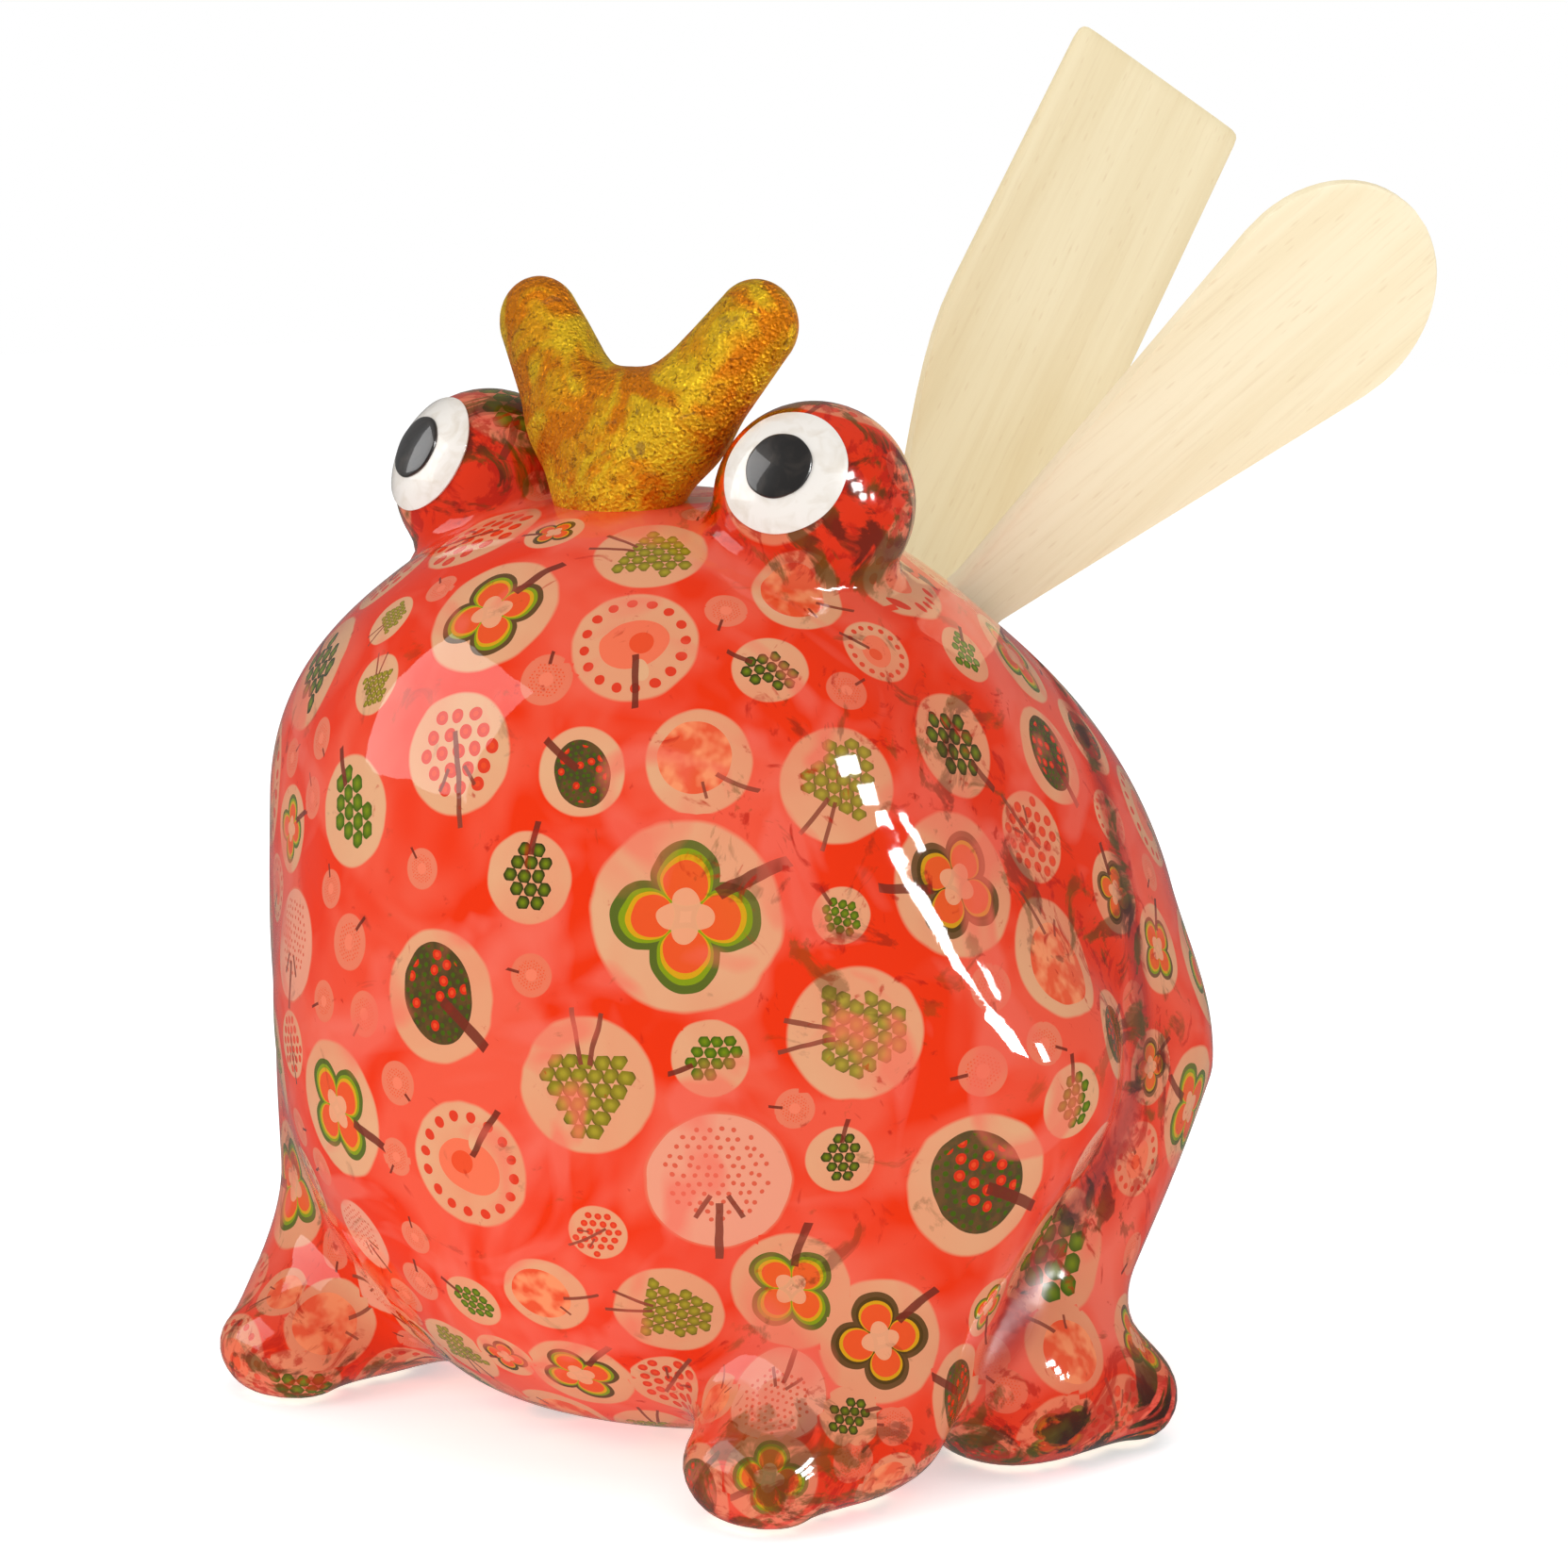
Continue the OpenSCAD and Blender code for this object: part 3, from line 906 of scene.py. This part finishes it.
def paint(red, green, blue):
    """A colour as paint shops give it, 0 to 255, turned into light."""
    def light(value):
        v = value / 255
        return v / 12.92 if v <= 0.04045 else ((v + 0.055) / 1.055) ** 2.4
    return (light(red), light(green), light(blue), 1)


print("cream paper is", [round(c, 2) for c in paint(230, 178, 130)])

# %% [markdown]
# ## Drawing the motifs
# In a medallion's own coordinates, u runs right and v up, and the edge is at one. Discs,
# bars and rings are comparisons of distances, as cut-paper shapes are. Berries and fruits
# come from a Voronoi pattern with little randomness: each cell is one berry, and asking
# where the cell's middle lies keeps whole berries only. The pattern is slanted, so that
# its rows interlock. Each motif is a list of layers, a shape and its colour, laid in turn.

# %% Coordinates for the print
paper = Finish("printed paper under gloss")
print_map = paper.add("ShaderNodeUVMap", {"uv_map": "medallion"}, {})
luck = paper.attribute("luck")
motif = paper.attribute("motif")
overlap = paper.attribute("overlap")
crease = paper.attribute("crease")
body_place = paper.place()
wander = paper.noise(body_place, 160, 1) - 0.5
uv_parts = paper.add("ShaderNodeSeparateXYZ", {}, {"Vector": print_map})
u = uv_parts.out("X") + wander * 0.10
v = uv_parts.out("Y") - wander * 0.08


def span(x, y):
    """The length of a flat vector."""
    total = x * x + y * y
    return total.math("SQRT", total)


radius = span(u, v)
print("print coordinates ready")


# %% Shapes and berries
def disc(x, y, r):
    return span(u - x, v - y) < r


def bar(angle, start, end, width, bend=0.0):
    """A twig from the middle outwards, a little bent."""
    c, s = math.cos(math.radians(angle)), math.sin(math.radians(angle))
    along = u * c + v * s
    across = v * c - u * s + along * along * bend
    return (along > start) & (along < end) & (abs(across) < width)


def berries(scale, randomness):
    """Interlocking berries: the distance from a middle, where it lies, and a chance."""
    x, y = u + luck * 7, v + luck * 3
    slanted = paper.add("ShaderNodeCombineXYZ", {}, {"X": x - y * 0.577, "Y": y * 1.155})
    cells = paper.add("ShaderNodeTexVoronoi", {"voronoi_dimensions": "2D"},
                      {"Vector": slanted, "Scale": scale, "Randomness": randomness}, "Distance")
    parts = paper.add("ShaderNodeSeparateXYZ", {}, {"Vector": cells.out("Position")})
    middle_x = parts.out("X") + parts.out("Y") * 0.5
    middle_y = parts.out("Y") * 0.866
    kind = paper.add("ShaderNodeSeparateColor", {}, {"Color": cells.out("Color")})
    away = span(x - middle_x, y - middle_y) * scale
    return away, middle_x - luck * 7, middle_y - luck * 3, kind


berry, berry_x, berry_y, berry_kind = berries(4.2, 0.12)
bead, bead_x, bead_y, _ = berries(6.5, 0.3)
drop, drop_x, drop_y, drop_kind = berries(3.0, 0.1)
print("berries and beads ready")

# %% Colours of the print
CREAM, SALMON = paint(230, 174, 130), paint(236, 126, 94)
BARK, TWIG = paint(118, 42, 26), paint(138, 62, 44)
LEAF, LIME, YELLOW = paint(66, 96, 2), paint(136, 156, 10), paint(224, 160, 14)
CORAL, RED, BLUSH = paint(238, 76, 34), paint(226, 44, 12), paint(238, 164, 122)
DARK_LEAF, MOSS, OLIVE = paint(48, 52, 8), paint(82, 58, 14), paint(130, 120, 4)
OLIVE_SHADE, OLIVE_SHINE = paint(92, 82, 4), paint(164, 152, 26)
print("print colours mixed")


# %% Flower, trees and hearts
def twigs(*bars):
    return [(bar(*measures), TWIG) for measures in bars]


def flower():
    a, b = abs(u) | abs(v), abs(u) & abs(v)

    def petal(x, r):
        return span(a - x, b) < r

    green = paper.mix(LEAF, MOSS, luck > 0.62)
    return [(petal(0.43, 0.37), green), (petal(0.41, 0.30), paper.mix(LIME, MOSS, luck > 0.8)),
            (petal(0.385, 0.265), YELLOW), (petal(0.355, 0.235), CORAL),
            (span(a - 0.12, b * 1.3) < 0.19, BLUSH), (bar(38, 0.42, 1.22, 0.07, 0.12), BARK)]


def tree():
    crown_shape = span(u * 1.35, v * 1.12 - 0.06)
    patch = paper.noise(body_place, 420, 2).soft(0.45, 0.6)
    ripe = (crown_shape < 0.74) & (berry_kind > 0.42)
    return [(crown_shape < 0.87, paper.mix(DARK_LEAF, MOSS, patch)),
            ((crown_shape < 0.82) & (bead < 0.24), LEAF), (ripe & (berry < 0.34), RED),
            (ripe & (berry < 0.16), CORAL), (bar(-52, 0.1, 1.12, 0.085, 0.08), BARK)]


def dotted_tree():
    dots = (bead < 0.22) & (span(bead_x, bead_y - 0.15) < 0.72)
    return [(radius < 0.98, paint(240, 158, 128)), (dots, paint(222, 88, 60)),
            *twigs((-90, 0.3, 1.18, 0.055), (-58, 0.22, 0.62, 0.035), (-122, 0.22, 0.62, 0.035))]


def heart_tree():
    drops = (span(drop_x, drop_y) < 0.84) & (drop < 0.36)
    return [(drops, RED), (drops & (drop < 0.15), CORAL),
            *twigs((-88, -0.35, 1.2, 0.05, 0.06), (-60, 0.25, 0.65, 0.035), (-125, 0.3, 0.7, 0.03))]


print("flower, tree, dotted tree and hearts ready")


# %% Fruit
def grapes():
    wide = abs(berry_x) * 1.1 - berry_y * 0.3
    cluster = (wide < 0.64) & (span(berry_x, berry_y) < 0.76) & (berry_y < 0.4) & (berry < 0.57)
    shine = paper.mix(OLIVE_SHADE, OLIVE, berry.soft(0.54, 0.4))
    return [(cluster, paper.mix(shine, OLIVE_SHINE, berry.soft(0.34, 0.1))),
            *twigs((102, 0.3, 1.16, 0.036), (78, 0.3, 1.08, 0.036))]


def beaded():
    blob = span(u, v * 1.25) < 0.56
    notch = span(u * 1.6, v - 0.5) < 0.2
    count, ring = 16, 0.8
    turn = u.math("ARCTAN2", v, u) * (count / math.tau)
    step = (turn.math("FRACT", turn) - 0.5) * (math.tau * ring / count)
    return [(span(step, radius - ring) < 0.085, RED), (blob, paint(246, 112, 76)), (notch, CREAM),
            (disc(-0.12, 0.02, 0.2), CORAL), (bar(84, 0.2, 1.12, 0.055, 0.1), BARK)]


def fruit():
    patch = paper.noise(body_place, 260, 2).soft(0.42, 0.6)
    return [(disc(-0.08, 0.08, 0.7), paper.mix(CORAL, paint(252, 146, 96), patch)),
            *twigs((-38, 0.42, 1.24, 0.045, -0.2), (-75, 0.4, 0.72, 0.03))]


def bunch():
    cluster = (span(drop_x * 1.35, drop_y) < 0.74) & (drop < 0.5)
    green = paper.mix(DARK_LEAF, LEAF, luck > 0.5)
    return [(cluster, paper.mix(green, MOSS, drop_kind > 0.6)),
            (cluster, paper.mix(green, LIME, drop.soft(0.42, 0.05) * 0.7)),
            (bar(88, 0.5, 1.24, 0.07, 0.1), BARK)]


def cherry():
    return [((bead < 0.22) & (radius < 0.7), CORAL), (disc(0, 0, 0.28), paint(247, 128, 96)),
            (bar(90, 0.6, 1.32, 0.07), BARK)]


MOTIFS = {FLOWER: flower, TREE: tree, DOTTED: dotted_tree, GRAPES: grapes, HEARTS: heart_tree,
          BEADED: beaded, FRUIT: fruit, BUNCH: bunch, CHERRY: cherry}
print(len(MOTIFS), "motifs drawn")

# %% [markdown]
# ## The paper's ground, its overlaps and its painted crease shade
# The ground is a watery coral red. Where scraps lie on one another, the upper one's pink
# back veils the print below, and on the feet and the eye bulbs many layers give dark,
# smudged patches. The same deeper red and smudges in the creases and round the front legs
# are painted shade. All of it is noise on Object coordinates, in metres, so a scale of 40
# gives patches about 25 mm across. A thin brown over the whole is the tint of the varnish.

# %% Colour the paper
blotch = paper.noise(body_place, 42, 2, 0.5, 0.6)
wash = paper.noise(body_place, 19, 3, 0.55, 1.2)
ground = paper.mix(paint(240, 50, 0), paint(243, 88, 62), blotch.soft(0.45, 0.6))
ground = paper.mix(ground, paint(246, 120, 100), wash.soft(0.54, 0.7) * 0.65)
# a deeper red where scraps of paper lie on one another, and painted shade in the creases and round the
# front legs
ground = paper.mix(ground, paint(228, 48, 4), overlap.soft(0.3, 0.6) * 0.9)
disc_edge = radius.soft(1.03, 0.98) & (motif > 0.5)
disc_tint = paper.mix(CREAM, SALMON, (abs(motif - DOTTED) < 0.5) | (abs(motif - CHERRY) < 0.5))
disc_tint = paper.mix(disc_tint, paint(234, 100, 66), wash.soft(0.38, 0.7) * 0.4)
tint = paper.mix(ground, disc_tint, disc_edge * (0.96 - overlap * 0.6))
for number, draw in MOTIFS.items():
    here = abs(motif - number) < 0.5
    for shape, colour in draw():
        tint = paper.mix(tint, colour, (here & shape) * (0.94 - overlap * 0.3))
print("paper holds", len(paper.tree.nodes), "nodes")

# %% Veils, smudges and painted crease shade over the print
veil = paper.noise(body_place, 26, 2, 0.5, 2.2).soft(0.54, 0.64) * 0.62
tint = paper.mix(tint, paint(245, 106, 86), veil)
stain = paper.noise(body_place, 95, 4, 0.6, 2.5)
# darker red stains, more of them where the marks are high, so some are painted shade in the creases
# and round the front legs
tint = paper.mix(tint, paint(186, 20, 0), (stain + overlap * 0.24).soft(0.66, 0.74) * 0.7)
# painted shade: the crease between the front leg and the haunch is darkened
tint = paper.mix(tint, paint(150, 16, 2), crease.soft(0.3, 1.0) * 0.6)
layers = paper.noise(body_place, 70, 5, 0.62, 1.4)
# dark smudges of layered paper, which gather in the creases and round the front legs as painted shade
smudge_and_crease_shade = (layers + overlap * 0.2).soft(0.63, 0.69) * (overlap * 0.8 + 0.3)
dark = paper.mix(paint(58, 22, 6), paint(78, 72, 10), paper.noise(body_place, 90, 3).soft(0.42, 0.56))
tint = paper.mix(tint, dark, smudge_and_crease_shade * 0.92)
VARNISH = 0.08
tint = paper.mix(tint, paint(60, 14, 4), VARNISH)
glaze_wave = paper.bump(paper.noise(body_place, 45, 2, 0.5, 0.6), 1.0, 0.3)
wrinkle = paper.noise(body_place, 110, 3, 0.5, 2.0) * (overlap * 0.4 + 0.06)
paper.set(base_color=tint, roughness=0.03 + crease * 0.4 + overlap * 0.1)
paper.set(normal=paper.bump(wrinkle, 0.35, 0.5, glaze_wave))
print("paper finished with", len(paper.tree.nodes), "nodes")

# %% [markdown]
# ## The other finishes
# The inside is a plain cream glaze, and the foot ring is bare fired clay. The crown's gold
# leaf is a crinkled metal skin with tears that show the brown size below. Enamel is nearly
# flat. Beech is pale, with short darker flecks that run along the board, so its shader
# reads each point's own place on the board and stretches the pattern along it.


# %% Inside glaze and bare clay
def cream_glaze():
    finish = Finish("cream inside glaze")
    place = finish.place()
    pool = finish.noise(place, 35, 3)
    tint = finish.mix(paint(240, 230, 212), paint(226, 208, 180), pool.soft(0.45, 0.7))
    tint = finish.mix(tint, paint(170, 130, 95), finish.noise(place, 900, 1).soft(0.74, 0.78) * 0.6)
    finish.set(base_color=tint, roughness=0.35, coat_weight=1.0, coat_roughness=0.05)
    finish.set(normal=finish.bump(finish.noise(place, 70, 2), 0.3, 0.3))
    return finish.material


def bare_clay():
    finish = Finish("bare fired clay")
    place = finish.place()
    grain = finish.noise(place, 1400, 4)
    tint = finish.mix(paint(232, 214, 190), paint(206, 180, 150), grain.soft(0.4, 0.65))
    finish.set(base_color=tint, roughness=0.85, normal=finish.bump(grain, 0.12, 0.6))
    return finish.material


# %% Gold leaf
def gold_leaf():
    finish = Finish("crinkled gold leaf")
    place = finish.place()
    sheet = finish.noise(place, 90, 3, 0.55, 0.8)
    crinkle = finish.noise(place, 700, 5, 0.7, 1.2)
    flake = finish.add("ShaderNodeTexVoronoi", {"feature": "F1"}, {"Vector": place, "Scale": 1500},
                       "Distance")
    tint = finish.mix(paint(240, 140, 6), paint(255, 206, 36), sheet.soft(0.42, 0.56))
    tint = finish.mix(tint, paint(130, 48, 0), crinkle.soft(0.54, 0.64) * 0.75)
    worn = finish.noise(place, 240, 5, 0.7, 0.8).soft(0.6, 0.68)
    tint = finish.mix(tint, paint(110, 44, 2), worn * 0.6)
    finish.set(base_color=tint, metallic=0.8 - worn * 0.4, roughness=0.24 + crinkle * 0.25)
    folds = finish.bump(sheet + crinkle * 0.3, 1.2, 0.7)
    finish.set(normal=finish.bump(flake + crinkle, 0.5, 0.8, folds))
    return finish.material


# %% Enamel
def enamel(name, colour, second):
    finish = Finish(name)
    place = finish.place()
    stroke = finish.noise(place, 240, 3, 0.5, 1.0)
    tint = finish.mix(colour, second, stroke.soft(0.45, 0.75))
    finish.set(base_color=tint, roughness=0.3 + stroke * 0.1, coat_weight=1.0, coat_roughness=0.04)
    finish.set(normal=finish.bump(stroke, 0.12, 0.4))
    return finish.material


# %% Beech
def beech(name, pale, deep):
    finish = Finish(name)
    place = finish.attribute("board_place", "Vector")

    def stretched(along, across=1.0):
        return finish.add("ShaderNodeMapping", {}, {"Vector": place, "Scale": (across, 1, along)})

    rings = finish.noise(stretched(0.035), 170, 4, 0.6, 0.4)
    flecks = finish.add("ShaderNodeTexVoronoi", {"feature": "F1"},
                        {"Vector": stretched(0.22), "Scale": 620}, "Distance")
    pores = finish.noise(stretched(0.05), 1500, 2)
    tint = finish.mix(pale, deep, rings.soft(0.4, 0.7) * 0.5)
    tint = finish.mix(tint, paint(214, 180, 126), flecks.soft(0.2, 0.1) * 0.2)
    tint = finish.mix(tint, paint(216, 186, 134), pores.soft(0.56, 0.72) * 0.15)
    finish.set(base_color=tint, roughness=0.5 + rings * 0.2)
    finish.set(normal=finish.bump(pores + rings * 0.5, 0.06, 0.4))
    return finish.material


# %% Dress every piece
for finish in (paper.material, cream_glaze(), bare_clay()):
    pot.data.materials.append(finish)
crown.data.materials.append(gold_leaf())
white_enamel = enamel("white enamel", paint(244, 238, 230), paint(228, 218, 204))
black_enamel = enamel("black enamel", paint(26, 22, 20), paint(54, 46, 40))
for white, pupil in zip(whites, pupils):
    white.data.materials.append(white_enamel)
    pupil.data.materials.append(black_enamel)
sanded_beech = beech("sanded beech", paint(244, 228, 186), paint(228, 204, 152))
paler_beech = beech("paler beech", paint(254, 240, 204), paint(240, 220, 174))
flat_spatula.data.materials.append(sanded_beech)
round_spatula.data.materials.append(paler_beech)
print("every piece has a finish")

# %% [markdown]
# ## Ride on the frame
# The whole casting stands for the frame's shell, legs, feet and eye bulbs, which are one
# fired piece of ceramic. The crown and the enamel ride on it, and each spatula rides on
# its own body, so that it can be lifted out.

# %% Hand the pieces to the frame
LIMBS = [f"{end}_{side}_{part}" for end in ("front", "rear") for side in ("left", "right")
         for part in ("leg", "foot")]


def hand_over(piece, body, slot, *nodes):
    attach(piece, body)
    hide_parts(*nodes)


hand_over(pot, "pot", "printed_glaze", "body_shell", "left_eye_bulb", "right_eye_bulb", *LIMBS)
hand_over(crown, "pot", "gold_leaf", "crown")
for white, pupil, side in zip(whites, pupils, ("left", "right")):
    hand_over(white, "pot", "eye_white", side + "_eye_white")
    hand_over(pupil, "pot", "pupil_black", side + "_pupil")
hand_over(flat_spatula, "flat_spatula", "beech", "flat_spatula")
hand_over(round_spatula, "round_spatula", "beech", "round_spatula")

# %% [markdown]
# ## Floor, light and camera
# Glazed ware is lit by large soft lights, because every lamp shows in the gloss. Here the
# world and two soft lamps light the clay, and other lamps are seen only in the gloss, so
# that they don't bleach the print: tall windows on the frog's left draw the broken white
# streak down its shoulder, and a white card gives the gold something to mirror. The room
# is white to the camera, dimmer as a light and dimmer still in the gloss. The floor glows
# a little, to be as white as the room, and isn't mirrored in the glaze.

# %% Floor and world
bpy.ops.object.select_all(action="DESELECT")
bpy.ops.mesh.primitive_plane_add(size=8)
floor = bpy.context.object
floor.name = "pale_floor"
floor_paint = Finish("pale floor")
floor_cloud = floor_paint.noise(floor_paint.place(), 2, 2)
floor_white = floor_paint.mix(paint(252, 252, 252), paint(248, 248, 248), floor_cloud)
floor_paint.set(base_color=floor_white, roughness=0.9)
floor_paint.set(emission_color=paint(255, 255, 255), emission_strength=0.5, specular_ior_level=0.0)
floor.data.materials.append(floor_paint.material)
floor.visible_glossy = False

ROOM_LIGHT, ROOM_IN_GLOSS = 0.6, 0.2
scene = bpy.context.scene
scene.view_settings.view_transform = "Standard"
world = bpy.data.worlds.new("white room")
scene.world = world
world.use_nodes = True
room = world.node_tree
sky = room.nodes["Background"]
sky.inputs["Color"].default_value = (1, 1, 1, 1)
seen = room.nodes.new("ShaderNodeLightPath")
level = room.nodes.new("ShaderNodeMapRange")
level.inputs["To Min"].default_value = ROOM_LIGHT
level.inputs["To Max"].default_value = ROOM_IN_GLOSS
room.links.new(seen.outputs["Is Glossy Ray"], level.inputs["Value"])
whole = room.nodes.new("ShaderNodeMath")
whole.operation = "MAXIMUM"
room.links.new(seen.outputs["Is Camera Ray"], whole.inputs[0])
room.links.new(level.outputs["Result"], whole.inputs[1])
room.links.new(whole.outputs["Value"], sky.inputs["Strength"])
print("white room ready")


# %% Lamps
def add_lamp(name, place, aim, width, height, power, in_gloss=False):
    """A soft lamp that lights the clay, or one that is only mirrored in the gloss."""
    light = bpy.data.lights.new(name, "AREA")
    light.shape = "RECTANGLE"
    light.size, light.size_y = width, height
    light.energy = power
    lamp = bpy.data.objects.new(name, light)
    scene.collection.objects.link(lamp)
    lamp.location = place
    lamp.rotation_euler = (Vector(aim) - Vector(place)).to_track_quat("-Z", "Y").to_euler()
    lamp.visible_diffuse = not in_gloss
    lamp.visible_glossy = in_gloss
    return lamp


middle = (0, 0, 0.09)
add_lamp("front softbox", (-0.3, -1.6, 1.2), middle, 1.2, 1.2, 10)
add_lamp("top softbox", (0.4, 0.1, 1.7), middle, 1.4, 1.4, 7)
add_lamp("card for the gold", (-1.2, -1.1, 0.85), middle, 1.3, 1.3, 14, in_gloss=True)
WINDOW_X, WATTS_PER_AREA = 1.25, 150
# each pane: its place along Y, its height above the floor, how wide and how tall it is
PANES = [(-0.2, 0.9, 0.34, 0.18), (-0.04, 0.56, 0.24, 0.2), (0.06, 0.32, 0.16, 0.12),
         (0.34, 0.3, 0.08, 0.14)]
for number, (along, height, wide, tall) in enumerate(PANES):
    add_lamp(f"window pane {number + 1}", (WINDOW_X, along, height), middle, wide, tall,
             WATTS_PER_AREA * wide * tall, in_gloss=True)

# %% Camera
azimuth, elevation, distance = math.radians(37.755), math.radians(8.843), 0.678
look = Vector((0.0021, 0.0127, 0.1090))
back = Vector((math.sin(azimuth) * math.cos(elevation), -math.cos(azimuth) * math.cos(elevation),
               math.sin(elevation)))
lens = bpy.data.cameras.new("camera")
lens.lens, lens.sensor_width = 84, 36
camera = bpy.data.objects.new("camera", lens)
camera.location = look + back * distance
camera.rotation_euler = back.to_track_quat("Z", "Y").to_euler()
scene.collection.objects.link(camera)
scene.camera = camera
print("camera at", [round(c, 3) for c in camera.location])
